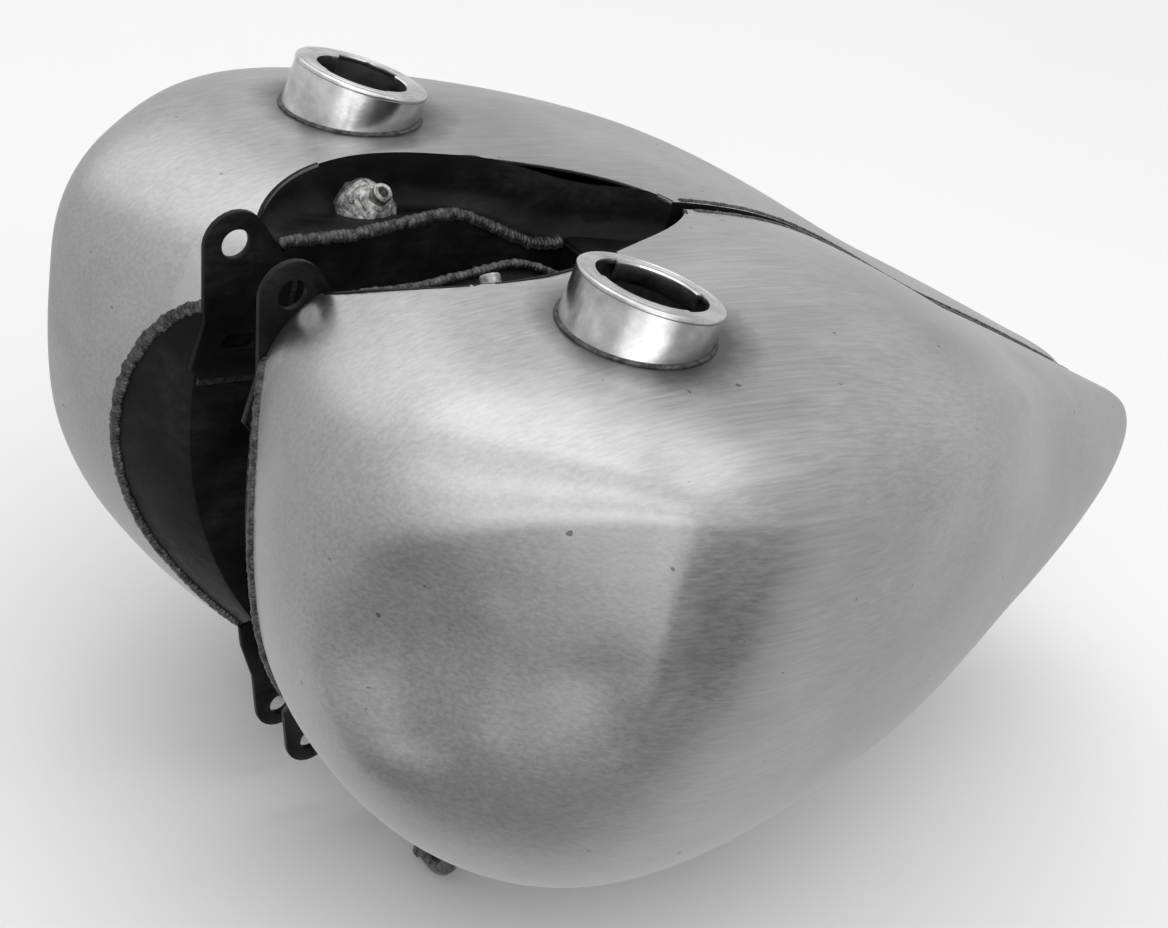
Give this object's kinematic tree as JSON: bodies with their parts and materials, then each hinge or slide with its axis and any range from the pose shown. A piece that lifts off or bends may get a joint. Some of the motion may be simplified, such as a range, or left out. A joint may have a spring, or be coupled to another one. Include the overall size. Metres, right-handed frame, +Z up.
{
  "type": "split motorcycle fuel tank",
  "caption": "Bare steel split motorcycle fuel tank in two mirrored halves, with a filler neck on each side and a dash recess between them.",
  "frame": {"origin": "on the axis of the upper front mounting bolt, midway between the two halves", "axes": "+X towards the front of the motorcycle, +Y to the rider's left along the bolt, +Z up"},
  "size_m": [0.5848, 0.4306, 0.3187],
  "materials": {
    "bare_steel": "satin",
    "dark_panel": "satin",
    "neck_steel": "polished",
    "weld_metal": "rough",
    "dark_weld": "rough"
  },
  "bodies": {
    "left_half": {"skin_left": "bare_steel", "inner_panel_left": "dark_panel", "recess_pan_left": "dark_panel", "filler_neck_left": "neck_steel", "neck_braze_left": "dark_weld", "cam_ring_left": "neck_steel", "front_ear_left": "dark_panel", "ear_weld_left": "dark_weld", "lower_tab_left": "dark_panel", "rear_bracket_left": "dark_panel", "vent_bung_left": "weld_metal", "vent_weld_left": "weld_metal", "balance_spigot_left": "dark_panel", "crossover_elbow_left": "dark_weld", "fuel_tap_bung_left": "dark_panel", "lip_bead_left": "dark_weld", "recess_bead_left": "dark_weld", "seam_bead_left": "dark_weld"},
    "right_half": {"skin_right": "bare_steel", "inner_panel_right": "dark_panel", "recess_pan_right": "dark_panel", "filler_neck_right": "neck_steel", "neck_braze_right": "dark_weld", "cam_ring_right": "neck_steel", "front_ear_right": "dark_panel", "ear_weld_right": "dark_weld", "lower_tab_right": "dark_panel", "rear_bracket_right": "dark_panel", "vent_bung_right": "weld_metal", "vent_weld_right": "weld_metal", "balance_spigot_right": "dark_panel", "crossover_elbow_right": "dark_weld", "fuel_tap_bung_right": "dark_panel", "lip_bead_right": "dark_weld", "recess_bead_right": "dark_weld", "seam_bead_right": "dark_weld"}
  },
  "joints": [
    {"name": "halves_apart", "type": "slide", "parent": "left_half", "child": "right_half", "axis": [0, -1, 0], "range_m": [0, 0.12]}
  ]
}
